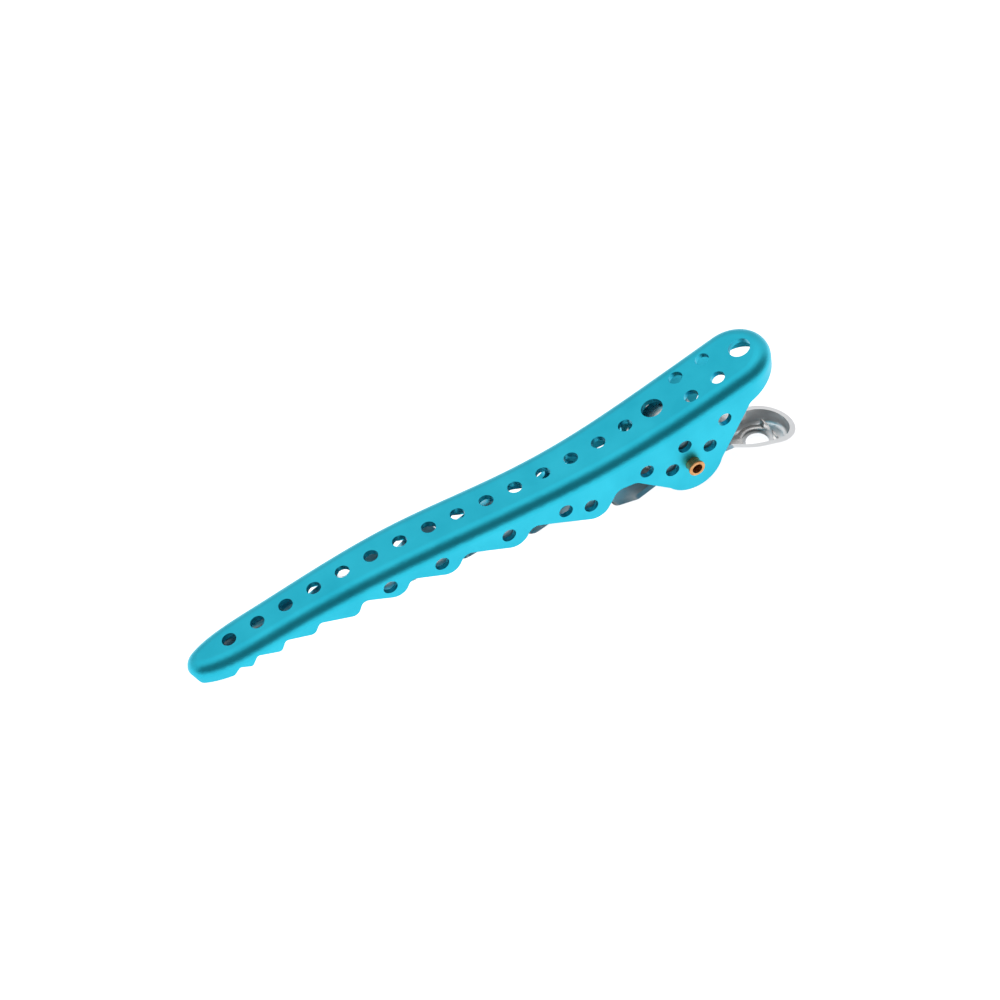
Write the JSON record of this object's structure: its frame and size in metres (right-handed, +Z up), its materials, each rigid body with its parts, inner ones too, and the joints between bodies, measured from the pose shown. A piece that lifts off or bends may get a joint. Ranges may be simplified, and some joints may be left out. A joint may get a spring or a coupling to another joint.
{
  "type": "sectioning clip",
  "caption": "Hair sectioning clip with two perforated sheet-metal jaws, toothed side walls, a hollow rivet pivot and a leaf spring between its handles.",
  "frame": {"origin": "point where the pivot axis crosses the symmetry plane of the two jaws", "axes": "+X from the jaw tip towards the handles, level on the bench; +Y along the pivot axis, across the clip; +Z up when the clip stands on its lower handle and its nose"},
  "size_m": [0.1147, 0.015, 0.0252],
  "materials": {
    "anodised_sheet": "satin",
    "bright_sheet": "satin",
    "rivet_metal": "polished",
    "spring_strip": "satin"
  },
  "bodies": {
    "lower": {"lower_jaw": "bright_sheet", "pivot_rivet": "rivet_metal", "leaf_spring": "spring_strip"},
    "upper": {"upper_jaw": "anodised_sheet"}
  },
  "joints": [
    {"name": "jaw_hinge", "type": "hinge", "parent": "lower", "child": "upper", "pos_m": [0, 0, 0], "axis": [0, 1, 0], "range_deg": [0, 48], "stiffness_Nm_per_rad": 0.25, "springref_deg": -20.05, "deforming": ["leaf_spring"]}
  ]
}
